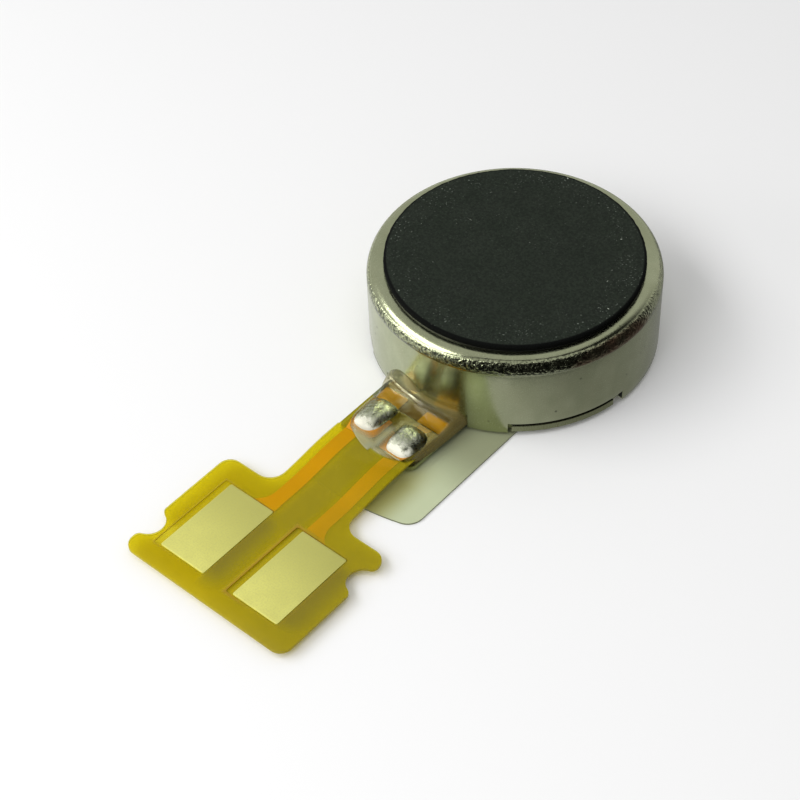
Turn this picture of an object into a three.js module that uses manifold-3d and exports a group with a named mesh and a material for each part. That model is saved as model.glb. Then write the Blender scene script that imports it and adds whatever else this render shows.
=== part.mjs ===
// A 10 mm coin vibration motor (eccentric rotor, brushed) with a flexible printed tail.
// Millimetres, +Z up. The origin is the centre of the release liner's underside, the motor's
// axis is +Z, and the tail lies along -Y. "Reach" is a distance from the axis along the tail.
import * as THREE from "three";
import { mergeVertices } from "three/addons/utils/BufferGeometryUtils.js";
import Module from "manifold-3d";

// ---------------------------------------------------------------- driving dimensions

const BOND = 0.01; // bond line between two layers that are stuck together
const ROUND = 48; // segments of a full circle on the large round parts
const SMALL_ROUND = 24; // segments of a full circle on the small round parts

// Case, base and what they are stuck to.
const CASE_RADIUS = 5.0;
const CASE_HEIGHT = 3.2;
const CASE_SHEET = 0.2;
const CASE_CORNER = 0.45;
const CASE_SHAFT_HOLE = 0.45;
const LINER_THICK = 0.06;
const TAPE_THICK = 0.1;
const TAPE_RADIUS = 4.6;
const FOAM_TAPE_THICK = 0.03;
const FOAM_TAPE_RADIUS = 4.4;
const FOAM_THICK = 0.19;
const FOAM_RADIUS = 4.42;
const BASE_THICK = 0.15;
const BASE_RADIUS = 4.76;
const TAB_RADIUS = 4.97;
const TAB_SHEET = 0.15;
const TAB_HEIGHT = 0.3;
const SHAFT_RADIUS = 0.4;
const SHAFT_SEAT = 0.42;

// Base tabs and the case notches that they sit in, as [from, to] in degrees from the tail's axis.
const SIDE_TAB = [37.5, 80];
const SIDE_NOTCH = [36, 85];
const REAR_TAB = [161.5, 198.5];
const REAR_NOTCH = [158.5, 201.5];
const NOTCH_HEIGHT = 0.4;
const EXIT_HALF_WIDTH = 1.75;
const EXIT_HEIGHT = 0.34;
const TONGUE_HALF_WIDTH = 1.6;
const TONGUE_REACH = 7.4;
const TONGUE_CORNER = 0.3;
const STRIP_ROOT = 3.5; // where the tongue, the strip and the pull tab start, inside their discs

// Release liner's pull tab.
const PULL_TAB_X = [-1.0, 3.05];
const PULL_TAB_REACH = 9.5;
const PULL_TAB_CORNER = 0.55;

// Stator: flexible board, magnet, brushes and thrust washers.
const FLEX_THICK = 0.06;
const FLEX_RADIUS = 4.0;
const FLEX_STRIP_HALF_WIDTH = 1.42;
const FLEX_STRIP_REACH = 7.25;
const TERMINAL_THICK = 0.02;
const TERMINAL_X = [0.42, 1.38];
const TERMINAL_REACH = [5.1, 6.35];
const MAGNET_RADII = [2.2, 4.1];
const MAGNET_THICK = 0.7;
const BRUSH_X = [0.92, 1.42];
const BRUSH_SHEET = 0.05;
const BRUSH_SLIT = 0.08;
const BRUSH_Y = { foot: -1.6, bend: -1.15, crest: 1.07, tip: 1.4 };
const BRUSH_GAP = 0.015; // from the brush to the commutator
const WASHER_RADII = [0.43, 0.85];
const LOWER_WASHER_THICK = 0.15;
const UPPER_WASHER_THICK = 0.16;

// Rotor, whose heavy side rests pointing away from the tail.
const HEAVY_SIDE = 180; // degrees from the tail's axis
const BEARING_RADII = [0.43, 0.84];
const BEARING_LIFT = 0.33;
const BEARING_LENGTH = 2.44;
const BOARD_LIFT = 1.15;
const BOARD_THICK = 0.15;
const BOARD_RADIUS = 4.3;
const BOARD_HUB_RADIUS = 2.0;
const BOARD_HALF_ANGLE = 94;
const ROTOR_BORE = 0.86;
const FAN_ROOT = 1.2; // where the board's and the moulding's fans start, inside their hubs
const SEGMENT_COUNT = 6;
const SEGMENT_RADII = [1.0, 1.85];
const SEGMENT_GAP = 8; // degrees
const SEGMENT_THICK = 0.028;
const COIL_ANGLE = 62; // each coil's centre from the heavy side, in degrees
const COIL_THICK = 1.18;
const COIL_OUTLINE = { near: 1.95, nearHalf: 0.62, far: 4.0, farHalf: 1.6, corner: 0.5 };
const COIL_OPENING = { near: 2.7, nearHalf: 0.22, far: 3.3, farHalf: 0.5, corner: 0.12 };
const WEIGHT_RADII = [1.95, 4.4];
const WEIGHT_HALF_ANGLE = 36;
const WEIGHT_THICK = 1.42;
const RESIN_RADIUS = 4.25;
const RESIN_HUB_RADIUS = 1.7;
const RESIN_HALF_ANGLE = 92;
const RESIN_THICK = 1.29;
const MOULD_GAP = 0.02;

// Tail: a base film, copper and a cover film. Its arm slopes down past the bead, so that the
// head lies TAIL_DROP lower. It bends at TAIL_BEND.
const TAIL_HALF_WIDTH = 1.5;
const TAIL_START = 5.75;
const TAIL_SLOPE_START = 7.8;
const TAIL_DROP = 0.18;
const TAIL_BEND = 9.2;
const BEND_GAP = 0.2;
const FILM_THICK = 0.045;
const COPPER_THICK = 0.02;
const COVER_THICK = 0.03;
const COVER_START = 7.45;
const HEAD_REACH = [10.67, 15.53];
const HEAD_HALF_WIDTH = 3.43;
const HEAD_CORNER = 0.45;
const NECK_FILLET = 0.6;
const NOTCH_RADIUS = 0.54;
const NOTCH_OFFSET = 3.46; // from the tail's axis to a locating notch's centre
const NOTCH_REACH = { left: 14.3, right: 11.87 };
const TRACE_X = [0.65, 1.18];
const TRACE_FLARE = 1.5;
const LANDING_X = [0.17, 1.25];
const LANDING_REACH = [5.85, 7.5];
const SLOT_RADIUS = 0.28;
const SLOT_X = 0.85;
const PAD_X = [0.63, 2.5];
const PAD_REACH = [11.53, 14.75];
const PAD_THICK = 0.065;
const PAD_CORNER = 0.06;
const WINDOW_X = { left: [-2.75, -0.6], right: [0.38, 2.53] };
const WINDOW_REACH = [11.5, 14.8];

// Solder domes ([x, reach] centre, [x, y, z] half sizes) and the clear bead over them.
const SOLDER = {
  left: { centre: [-0.72, 6.45], size: [0.5, 0.7, 0.27] },
  right: { centre: [0.86, 6.62], size: [0.46, 0.74, 0.35] },
};
const LEG_RADIUS = 0.2;
const BEAD_X = [-1.45, 1.72];
const BEAD_REACH = { left: 7.2, right: 7.75 };
const BEAD_CORNER = 0.7;
const BEAD_ROOT = 4.4; // where its outline starts, before the case is cut away from it
const BEAD_WALL_HEIGHT = 1.15;
const BEAD_WALL_REACH = 5.15; // where its top starts to fall away from the wall
const BEAD_LEVEL_REACH = [5.5, 6.5]; // where it is level over the solder
const BEAD_THICK = 0.4;
const BEAD_EDGE = 0.03;

// ---------------------------------------------------------------- heights, from the stack

const zTape = LINER_THICK + BOND;
const zBase = zTape + TAPE_THICK + BOND; // underside of the base and of the case's rim
const zFlex = zBase + BASE_THICK + BOND;
const zTerminal = zFlex + FLEX_THICK + BOND;
const zFilm = zTerminal + TERMINAL_THICK + BOND;
const zCopper = zFilm + FILM_THICK + BOND / 2;
const zCover = zCopper + COPPER_THICK + BOND / 2;
const zTailTop = zCover + COVER_THICK;
const zSolder = zCopper + COPPER_THICK + BOND;
const zBoard = zBase + BOARD_LIFT;
const zRotor = zBoard + BOARD_THICK + MOULD_GAP;
const zRoof = zBase + CASE_HEIGHT - CASE_SHEET;
const zFoamTape = zBase + CASE_HEIGHT + BOND;

// ---------------------------------------------------------------- solids

const wasm = await Module();
wasm.setup();

// A closed geometry as a manifold-3d solid.
function toSolid(geometry) {
  const bare = geometry.index ? geometry.toNonIndexed() : geometry.clone();
  bare.deleteAttribute("normal");
  bare.deleteAttribute("uv");
  const merged = mergeVertices(bare, 1e-4);
  return new wasm.Manifold(
    new wasm.Mesh({
      numProp: 3,
      vertProperties: merged.attributes.position.array,
      triVerts: new Uint32Array(merged.index.array),
    }),
  );
}

// A manifold-3d solid as a geometry.
function toGeometry(solid) {
  const mesh = solid.getMesh();
  const positions = new Float32Array(mesh.numVert * 3);
  for (let i = 0; i < mesh.numVert; i++) {
    const at = i * mesh.numProp;
    positions.set(mesh.vertProperties.subarray(at, at + 3), i * 3);
  }
  return new THREE.BufferGeometry()
    .setAttribute("position", new THREE.BufferAttribute(positions, 3))
    .setIndex(new THREE.BufferAttribute(mesh.triVerts, 1));
}

const join = (first, ...rest) =>
  toGeometry(rest.reduce((sum, g) => sum.add(toSolid(g)), toSolid(first)));

const cut = (from, ...tools) =>
  toGeometry(tools.reduce((rest, g) => rest.subtract(toSolid(g)), toSolid(from)));

const common = (a, b) => toGeometry(toSolid(a).intersect(toSolid(b)));

// An angle in degrees from the tail's axis, as radians in the XY plane. Positive turns towards +X.
const fromTail = (degrees) => THREE.MathUtils.degToRad(degrees - 90);

// A profile of [radius, z] points turned about Z. It closes on itself or ends on the axis.
function turned(profile, segments = ROUND) {
  const points = profile.map(([r, z]) => new THREE.Vector2(r, z));
  return new THREE.LatheGeometry(points, segments).rotateX(Math.PI / 2);
}

function disc(radius, z, thick, segments = ROUND) {
  return turned([[0, z], [radius, z], [radius, z + thick], [0, z + thick]], segments);
}

function ring([inner, outer], z, thick, segments = ROUND) {
  return turned(
    [[inner, z], [outer, z], [outer, z + thick], [inner, z + thick], [inner, z]],
    segments,
  );
}

function cylinder(radius, x, reach, z, thick) {
  return disc(radius, z, thick, SMALL_ROUND).translate(x, -reach, 0);
}

// A flat plate: a shape in the XY plane with a thickness.
function plate(shape, z, thick, curveSegments = 12) {
  const options = { depth: thick, bevelEnabled: false, curveSegments };
  return new THREE.ExtrudeGeometry(shape, options).translate(0, 0, z);
}

// A closed shape through [x, y, corner radius] points.
function rounded(corners) {
  const shape = new THREE.Shape();
  const count = corners.length;
  corners.forEach(([x, y, radius = 0], i) => {
    const here = new THREE.Vector2(x, y);
    const before = new THREE.Vector2(...corners[(i + count - 1) % count].slice(0, 2));
    const after = new THREE.Vector2(...corners[(i + 1) % count].slice(0, 2));
    const start = before.sub(here).setLength(radius).add(here);
    const end = after.sub(here).setLength(radius).add(here);
    if (i === 0) shape.moveTo(start.x, start.y);
    else shape.lineTo(start.x, start.y);
    if (radius > 0) shape.quadraticCurveTo(here.x, here.y, end.x, end.y);
  });
  shape.closePath();
  return shape;
}

// A rectangle between two x and two reaches along the tail.
function tailRectangle([x0, x1], [near, far], corner = 0) {
  return rounded([
    [x0, -near, corner],
    [x0, -far, corner],
    [x1, -far, corner],
    [x1, -near, corner],
  ]);
}

// A ring sector between two radii and two angles in degrees from the tail's axis.
function sector([inner, outer], [from, to]) {
  const shape = new THREE.Shape();
  shape.absarc(0, 0, outer, fromTail(from), fromTail(to), false);
  shape.absarc(0, 0, inner, fromTail(to), fromTail(from), true);
  shape.closePath();
  return shape;
}

// A shape drawn in the YZ plane and given a width along X.
function sideways(shape, [x0, x1]) {
  const options = { depth: x1 - x0, bevelEnabled: false, curveSegments: 8 };
  const axes = new THREE.Matrix4().makeBasis(
    new THREE.Vector3(0, 1, 0),
    new THREE.Vector3(0, 0, 1),
    new THREE.Vector3(1, 0, 0),
  );
  return new THREE.ExtrudeGeometry(shape, options).applyMatrix4(axes).translate(x0, 0, 0);
}

const mirrored = ([a, b]) => [-b, -a];
const onSide = (side, span) => (side === "left" ? mirrored(span) : span);

// ---------------------------------------------------------------- case and base

function caseCup() {
  const inner = CASE_RADIUS - CASE_SHEET;
  const bend = (radius, steps, direction) =>
    Array.from({ length: steps + 1 }, (_, i) => {
      const turn = ((direction > 0 ? i : steps - i) / steps) * (Math.PI / 2);
      return [
        CASE_RADIUS - CASE_CORNER + radius * Math.cos(turn),
        zBase + CASE_HEIGHT - CASE_CORNER + radius * Math.sin(turn),
      ];
    });
  const shell = turned([
    [inner, zBase],
    [CASE_RADIUS, zBase],
    ...bend(CASE_CORNER, 6, 1),
    [CASE_SHAFT_HOLE, zBase + CASE_HEIGHT],
    [CASE_SHAFT_HOLE, zRoof],
    ...bend(CASE_CORNER - CASE_SHEET, 4, -1),
    [inner, zBase],
  ]);
  const across = [inner - 0.3, CASE_RADIUS + 0.3];
  const below = 0.1;
  const notches = [SIDE_NOTCH, mirrored(SIDE_NOTCH), REAR_NOTCH].map((span) =>
    plate(sector(across, span), zBase - below, NOTCH_HEIGHT + below),
  );
  const exit = plate(
    tailRectangle([-EXIT_HALF_WIDTH, EXIT_HALF_WIDTH], [inner - 0.6, CASE_RADIUS + 0.3]),
    zBase - below,
    EXIT_HEIGHT + below,
  );
  return cut(shell, ...notches, exit);
}

// Each tab of the base runs out into its notch and turns up there.
function base() {
  const tabs = [SIDE_TAB, mirrored(SIDE_TAB), REAR_TAB].flatMap((span) => [
    plate(sector([BASE_RADIUS - 0.4, TAB_RADIUS], span), zBase, BASE_THICK),
    plate(sector([TAB_RADIUS - TAB_SHEET, TAB_RADIUS], span), zBase, TAB_HEIGHT),
  ]);
  const tongue = plate(
    rounded([
      [-TONGUE_HALF_WIDTH, -STRIP_ROOT],
      [-TONGUE_HALF_WIDTH, -TONGUE_REACH, TONGUE_CORNER],
      [TONGUE_HALF_WIDTH, -TONGUE_REACH, TONGUE_CORNER],
      [TONGUE_HALF_WIDTH, -STRIP_ROOT],
    ]),
    zBase,
    BASE_THICK,
    4,
  );
  const body = join(disc(BASE_RADIUS, zBase, BASE_THICK), ...tabs, tongue);
  return cut(body, disc(SHAFT_SEAT, zBase - 0.1, BASE_THICK + 0.2, SMALL_ROUND));
}

function shaft() {
  const chamfer = 0.06;
  const low = zBase + 0.02;
  const high = zBase + CASE_HEIGHT - 0.08;
  return turned(
    [
      [0, low],
      [SHAFT_RADIUS - chamfer, low],
      [SHAFT_RADIUS, low + chamfer],
      [SHAFT_RADIUS, high - chamfer],
      [SHAFT_RADIUS - chamfer, high],
      [0, high],
    ],
    SMALL_ROUND,
  );
}

// The liner is a disc with a pull tab, whose end is an arc about the motor's axis.
function releaseLiner() {
  const [left, right] = PULL_TAB_X;
  const endY = (x) => -Math.sqrt(PULL_TAB_REACH ** 2 - x ** 2);
  const steps = 6;
  const end = Array.from({ length: steps - 1 }, (_, i) => {
    const x = left + ((right - left) * (i + 1)) / steps;
    return [x, endY(x)];
  });
  const tab = rounded([
    [left, -STRIP_ROOT],
    [left, endY(left), PULL_TAB_CORNER / 2],
    ...end,
    [right, endY(right), PULL_TAB_CORNER],
    [right, -STRIP_ROOT + 0.5],
  ]);
  return join(disc(TAPE_RADIUS, 0, LINER_THICK), plate(tab, 0, LINER_THICK, 5));
}

// ---------------------------------------------------------------- stator

function statorFlex() {
  const width = [-FLEX_STRIP_HALF_WIDTH, FLEX_STRIP_HALF_WIDTH];
  const strip = plate(tailRectangle(width, [STRIP_ROOT, FLEX_STRIP_REACH]), zFlex, FLEX_THICK);
  const body = join(disc(FLEX_RADIUS, zFlex, FLEX_THICK), strip);
  return cut(body, disc(WASHER_RADII[1] + 0.05, zFlex - 0.1, FLEX_THICK + 0.2, SMALL_ROUND));
}

const terminalPad = (side) =>
  plate(tailRectangle(onSide(side, TERMINAL_X), TERMINAL_REACH), zTerminal, TERMINAL_THICK);

const washer = (z, thick) => ring(WASHER_RADII, z, thick, SMALL_ROUND);

const magnet = () => ring(MAGNET_RADII, zFlex + FLEX_THICK + BOND, MAGNET_THICK);

// A leaf spring: a flat foot, an arm that climbs to the commutator, and a tip bent down again,
// slit into two fingers.
function brush(side) {
  const foot = zFlex + FLEX_THICK + BOND;
  const contact = zBoard - BOND - SEGMENT_THICK - BRUSH_GAP;
  const underside = [
    [BRUSH_Y.foot, foot],
    [BRUSH_Y.bend, foot],
    [BRUSH_Y.crest - 0.1, contact - BRUSH_SHEET],
    [BRUSH_Y.crest + 0.1, contact - BRUSH_SHEET],
    [BRUSH_Y.tip, contact - 0.14],
  ];
  const top = [
    [BRUSH_Y.tip + 0.02, contact - 0.09],
    [BRUSH_Y.crest + 0.12, contact],
    [BRUSH_Y.crest - 0.12, contact],
    [BRUSH_Y.bend - 0.02, foot + BRUSH_SHEET],
    [BRUSH_Y.foot, foot + BRUSH_SHEET],
  ];
  const leaf = sideways(rounded([...underside, ...top]), onSide(side, BRUSH_X));
  const middle = (BRUSH_X[0] + BRUSH_X[1]) / 2;
  const slit = sideways(
    rounded([
      [BRUSH_Y.bend + 0.5, 0],
      [BRUSH_Y.tip + 0.2, 0],
      [BRUSH_Y.tip + 0.2, zBoard],
      [BRUSH_Y.bend + 0.5, zBoard],
    ]),
    onSide(side, [middle - BRUSH_SLIT / 2, middle + BRUSH_SLIT / 2]),
  );
  return cut(leaf, slit);
}

// ---------------------------------------------------------------- rotor

// A plate built with the heavy side along +X, turned to where the heavy side rests.
function onRotor(geometry, offset = 0) {
  return geometry.rotateZ(fromTail(HEAVY_SIDE + offset));
}

function rotorSector([inner, outer], halfAngle, z, thick, segments) {
  const shape = new THREE.Shape();
  const half = THREE.MathUtils.degToRad(halfAngle);
  shape.absarc(0, 0, outer, -half, half, false);
  shape.absarc(0, 0, inner, half, -half, true);
  shape.closePath();
  return onRotor(plate(shape, z, thick, segments));
}

function rotorBoard() {
  const fan = rotorSector([FAN_ROOT, BOARD_RADIUS], BOARD_HALF_ANGLE, zBoard, BOARD_THICK, 24);
  return join(fan, ring([ROTOR_BORE, BOARD_HUB_RADIUS], zBoard, BOARD_THICK, 36));
}

function commutatorSegment(index) {
  const pitch = 360 / SEGMENT_COUNT;
  const from = HEAVY_SIDE + index * pitch + SEGMENT_GAP / 2;
  const span = [from, from + pitch - SEGMENT_GAP];
  return plate(sector(SEGMENT_RADII, span), zBoard - BOND - SEGMENT_THICK, SEGMENT_THICK, 4);
}

// A coil's outline or opening: a rounded trapezoid between two radii, wider outside.
const trapezoid = ({ near, nearHalf, far, farHalf, corner }, grow) =>
  rounded([
    [near - grow, -nearHalf - grow, corner],
    [far + grow, -farHalf - grow, corner],
    [far + grow, farHalf + grow, corner],
    [near - grow, nearHalf + grow, corner],
  ]);

function coil(offset, grow = 0) {
  const outline = trapezoid(COIL_OUTLINE, grow);
  outline.holes.push(trapezoid(COIL_OPENING, -grow));
  return onRotor(plate(outline, zRotor - grow, COIL_THICK + 2 * grow, 5), offset);
}

const counterweight = (grow = 0) =>
  rotorSector(
    [WEIGHT_RADII[0] - grow, WEIGHT_RADII[1] + grow],
    WEIGHT_HALF_ANGLE + 1.2 * Math.sign(grow),
    zRotor - grow,
    WEIGHT_THICK + 2 * grow,
    20,
  );

// The moulding holds the bearing, both coils and the weight, and shows only between them.
function rotorResin() {
  const fan = rotorSector([FAN_ROOT, RESIN_RADIUS], RESIN_HALF_ANGLE, zRotor, RESIN_THICK, 24);
  const body = join(fan, ring([ROTOR_BORE, RESIN_HUB_RADIUS], zRotor, RESIN_THICK, 36));
  return cut(
    body,
    coil(COIL_ANGLE, MOULD_GAP),
    coil(-COIL_ANGLE, MOULD_GAP),
    counterweight(MOULD_GAP),
  );
}

// ---------------------------------------------------------------- tail

// The outline of the head and of the arm's free part.
function headOutline() {
  const [near, far] = HEAD_REACH;
  const side = (sign) => [
    [sign * TAIL_HALF_WIDTH, -headStart],
    [sign * TAIL_HALF_WIDTH, -near, NECK_FILLET],
    [sign * HEAD_HALF_WIDTH, -near, HEAD_CORNER],
    [sign * HEAD_HALF_WIDTH, -far, HEAD_CORNER],
  ];
  return rounded([...side(-1), ...side(1).reverse()]);
}

// A layer of the head, with its two locating notches.
function headLayer(z, thick) {
  const notch = (side) =>
    cylinder(
      NOTCH_RADIUS,
      side === "left" ? -NOTCH_OFFSET : NOTCH_OFFSET,
      NOTCH_REACH[side],
      z - 0.1,
      thick + 0.2,
    );
  return cut(plate(headOutline(), z, thick, 6), notch("left"), notch("right"));
}

const armEnd = TAIL_BEND - BEND_GAP / 2;
const headStart = TAIL_BEND + BEND_GAP / 2;

// A layer of the arm near the motor, from a reach on: level, then sloping down to the bend.
function armLayer(across, start, z, thick) {
  const profile = rounded([
    [-start, z],
    [-TAIL_SLOPE_START, z],
    [-armEnd, z - TAIL_DROP],
    [-armEnd, z - TAIL_DROP + thick],
    [-TAIL_SLOPE_START, z + thick],
    [-start, z + thick],
  ]);
  return sideways(profile, across);
}

const armWidth = [-TAIL_HALF_WIDTH, TAIL_HALF_WIDTH];

// The arm's near end has a half-round slot over each terminal, for the solder.
function filmRoot() {
  const arm = armLayer(armWidth, TAIL_START, zFilm, FILM_THICK);
  const slots = [-SLOT_X, SLOT_X].map((x) =>
    cylinder(SLOT_RADIUS, x, TAIL_START, zFilm - 0.1, FILM_THICK + 0.2),
  );
  return cut(arm, ...slots);
}

const coverRoot = () => armLayer(armWidth, COVER_START, zCover, COVER_THICK);

function coverHead() {
  const z = zCover - TAIL_DROP;
  const windows = ["left", "right"].map((side) =>
    plate(tailRectangle(WINDOW_X[side], WINDOW_REACH), z - 0.1, COVER_THICK + 0.2),
  );
  return cut(headLayer(z, COVER_THICK), ...windows);
}

// A landing under the solder, then the trace.
function traceRoot(side) {
  const landing = plate(
    tailRectangle(onSide(side, LANDING_X), LANDING_REACH, 0.35),
    zCopper,
    COPPER_THICK,
    5,
  );
  const line = armLayer(onSide(side, TRACE_X), LANDING_REACH[1] - 0.5, zCopper, COPPER_THICK);
  const slotX = side === "left" ? -SLOT_X : SLOT_X;
  const slot = cylinder(SLOT_RADIUS, slotX, TAIL_START, zCopper - 0.1, 0.3);
  return cut(join(landing, line), slot);
}

// The trace widens just before it meets its contact pad.
function traceHead(side) {
  const s = side === "left" ? -1 : 1;
  const end = PAD_REACH[0] - 0.03;
  const shape = new THREE.Shape();
  shape.moveTo(s * TRACE_X[0], -headStart);
  shape.lineTo(s * TRACE_X[0], -end);
  shape.lineTo(s * TRACE_FLARE, -end);
  shape.quadraticCurveTo(s * TRACE_X[1], -end + 0.15, s * TRACE_X[1], -end + 0.8);
  shape.lineTo(s * TRACE_X[1], -headStart);
  shape.closePath();
  return plate(shape, zCopper - TAIL_DROP, COPPER_THICK, 6);
}

const contactPad = (side) =>
  plate(
    tailRectangle(onSide(side, PAD_X), PAD_REACH, PAD_CORNER),
    zCopper - TAIL_DROP,
    PAD_THICK,
    3,
  );

// ---------------------------------------------------------------- solder and bead

// A dome on the copper, with a leg down through the film's slot to the terminal.
function solder(side, grow = 0) {
  const { centre, size } = SOLDER[side];
  const steps = 5;
  const quarter = Array.from({ length: steps + 1 }, (_, i) => {
    const turn = (i / steps) * (Math.PI / 2);
    return [i === steps ? 0 : Math.cos(turn), Math.sin(turn)];
  });
  const [sx, sy, sz] = size.map((s) => s + grow);
  const dome = turned([[0, 0], ...quarter], 20)
    .scale(sx, sy, sz + grow)
    .translate(centre[0], -centre[1], zSolder - grow);
  const foot = zTerminal + TERMINAL_THICK + BOND - grow;
  const legX = side === "left" ? -SLOT_X : SLOT_X;
  const leg = cylinder(LEG_RADIUS + grow, legX, TAIL_START + 0.06, foot, zSolder + 0.1 - foot);
  return join(dome, leg);
}

// The clear bead climbs the case wall, drops behind the film's end, runs down over the film's
// edge on one side and tapers out on the tail.
function glueBead() {
  const onFilm = zTailTop + BOND;
  const onTerminal = zTerminal + TERMINAL_THICK + BOND;
  const far = BEAD_REACH.right;
  const side = new THREE.Shape();
  side.moveTo(-far, zFlex);
  const level = onFilm + BEAD_THICK;
  side.lineTo(-far, onFilm + BEAD_EDGE);
  side.quadraticCurveTo(-far + 0.1, level, -BEAD_LEVEL_REACH[1], level);
  side.quadraticCurveTo(
    -BEAD_LEVEL_REACH[0],
    level,
    -BEAD_WALL_REACH,
    zBase + BEAD_WALL_HEIGHT - 0.1,
  );
  side.lineTo(-BEAD_ROOT, zBase + BEAD_WALL_HEIGHT);
  side.lineTo(-BEAD_ROOT, zFlex);
  side.closePath();
  const plan = rounded([
    [BEAD_X[0], -BEAD_ROOT],
    [BEAD_X[0], -BEAD_REACH.left, BEAD_CORNER],
    [BEAD_X[1], -far, BEAD_CORNER],
    [BEAD_X[1], -BEAD_ROOT],
  ]);
  const block = common(sideways(side, BEAD_X), plate(plan, zBase, BEAD_WALL_HEIGHT + 0.1, 5));
  const filmEdge = TAIL_HALF_WIDTH + BOND;
  const film = tailRectangle([-filmEdge, filmEdge], [TAIL_START - 0.03, far + 0.1]);
  const stripEdge = FLEX_STRIP_HALF_WIDTH + BOND;
  const strip = tailRectangle([-stripEdge, stripEdge], [BEAD_ROOT, TAIL_START]);
  return cut(
    block,
    plate(film, 0, onFilm),
    plate(strip, 0, onTerminal),
    disc(CASE_RADIUS + BOND, zBase - 0.1, BEAD_WALL_HEIGHT + 0.3),
    solder("left", BOND),
    solder("right", BOND),
  );
}

// ---------------------------------------------------------------- assembly

const material = (color, metalness, roughness, extra = {}) =>
  new THREE.MeshStandardMaterial({ color, metalness, roughness, ...extra });

const clear = { transparent: true, opacity: 0.35 };
const materials = {
  nickel: material(0xa9aa96, 1, 0.28),
  stainless: material(0xb4b4a8, 1, 0.3),
  magnet: material(0x6f7074, 1, 0.35),
  foam: material(0x2c302b, 0, 0.85),
  adhesive: material(0x181817, 0, 0.45),
  tape: material(0xe4e2d2, 0, 0.5),
  liner: material(0xd5dccb, 0, 0.25),
  film: material(0xb3a01c, 0, 0.3),
  cover: material(0xbfae2a, 0, 0.3, clear),
  copper: material(0xd98c12, 0.6, 0.35),
  gold: material(0xd6cf72, 1, 0.3),
  solder: material(0xb9bdb4, 1, 0.18),
  glue: material(0xd9d0a8, 0, 0.08, clear),
  board: material(0x2f5a38, 0, 0.5),
  winding: material(0xb5652d, 0.8, 0.35),
  tungsten: material(0x6b6a68, 1, 0.5),
  resin: material(0x1d1e1f, 0, 0.55),
  bronze: material(0xa9834a, 1, 0.5),
  washer: material(0xd9d2bd, 0, 0.5),
  steel: material(0xc3c5c6, 1, 0.2),
};

const motor = new THREE.Group();

function add(name, geometry, finish) {
  const mesh = new THREE.Mesh(geometry, materials[finish]);
  mesh.name = name;
  motor.add(mesh);
}

add("case_cup", caseCup(), "nickel");
add("base_plate", base(), "stainless");
add("shaft", shaft(), "steel");
add("foam_adhesive", disc(FOAM_TAPE_RADIUS, zFoamTape, FOAM_TAPE_THICK), "adhesive");
add("foam_pad", disc(FOAM_RADIUS, zFoamTape + FOAM_TAPE_THICK + BOND, FOAM_THICK), "foam");
add("mounting_tape", disc(TAPE_RADIUS, zTape, TAPE_THICK), "tape");
add("release_liner", releaseLiner(), "liner");

add("stator_flex", statorFlex(), "film");
add("ring_magnet", magnet(), "magnet");
add("lower_washer", washer(zFlex, LOWER_WASHER_THICK), "washer");
add("upper_washer", washer(zRoof - BOND - UPPER_WASHER_THICK, UPPER_WASHER_THICK), "washer");

add("bearing", ring(BEARING_RADII, zBase + BEARING_LIFT, BEARING_LENGTH, SMALL_ROUND), "bronze");
add("rotor_board", rotorBoard(), "board");
for (let i = 0; i < SEGMENT_COUNT; i++) {
  add(`commutator_segment_${i + 1}`, commutatorSegment(i), "gold");
}
add("coil_1", coil(COIL_ANGLE), "winding");
add("coil_2", coil(-COIL_ANGLE), "winding");
add("counterweight", counterweight(), "tungsten");
add("rotor_resin", rotorResin(), "resin");

add("tail_film_root", filmRoot(), "film");
add("tail_film_head", headLayer(zFilm - TAIL_DROP, FILM_THICK), "film");
add("cover_film_root", coverRoot(), "cover");
add("cover_film_head", coverHead(), "cover");
for (const side of ["left", "right"]) {
  add(`terminal_pad_${side}`, terminalPad(side), "copper");
  add(`brush_${side}`, brush(side), "gold");
  add(`trace_root_${side}`, traceRoot(side), "copper");
  add(`trace_head_${side}`, traceHead(side), "copper");
  add(`contact_pad_${side}`, contactPad(side), "gold");
  add(`solder_joint_${side}`, solder(side), "solder");
}
add("glue_bead", glueBead(), "glue");

export default motor;
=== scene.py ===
# A 10 mm coin vibration motor with a flexible printed tail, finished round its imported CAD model.
# Shapes are worked out in millimetres in the CAD model's frame: +Z up along the rotor's axis, the
# tail along -Y. "Reach" is the distance from that axis along the tail, so it is -y.
import functools
import math

import bmesh
import bpy
from mathutils import Matrix, Vector, geometry, noise

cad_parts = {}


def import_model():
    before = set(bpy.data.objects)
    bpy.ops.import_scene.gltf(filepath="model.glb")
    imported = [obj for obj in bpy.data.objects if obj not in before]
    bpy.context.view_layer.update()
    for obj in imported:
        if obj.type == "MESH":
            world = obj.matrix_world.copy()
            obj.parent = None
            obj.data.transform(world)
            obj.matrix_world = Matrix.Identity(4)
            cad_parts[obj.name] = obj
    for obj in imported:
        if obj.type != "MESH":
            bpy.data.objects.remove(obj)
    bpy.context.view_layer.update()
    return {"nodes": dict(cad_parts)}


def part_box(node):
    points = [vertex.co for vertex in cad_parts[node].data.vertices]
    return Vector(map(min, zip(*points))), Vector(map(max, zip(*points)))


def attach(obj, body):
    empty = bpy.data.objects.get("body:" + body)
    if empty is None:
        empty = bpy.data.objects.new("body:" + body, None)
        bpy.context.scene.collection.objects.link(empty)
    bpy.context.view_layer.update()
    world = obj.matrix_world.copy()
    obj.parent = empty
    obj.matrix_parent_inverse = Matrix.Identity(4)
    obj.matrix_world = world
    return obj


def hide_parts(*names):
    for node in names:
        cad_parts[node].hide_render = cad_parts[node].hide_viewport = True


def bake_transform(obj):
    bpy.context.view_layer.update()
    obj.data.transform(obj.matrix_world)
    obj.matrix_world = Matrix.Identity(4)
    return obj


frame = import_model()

MM = 0.001


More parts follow.
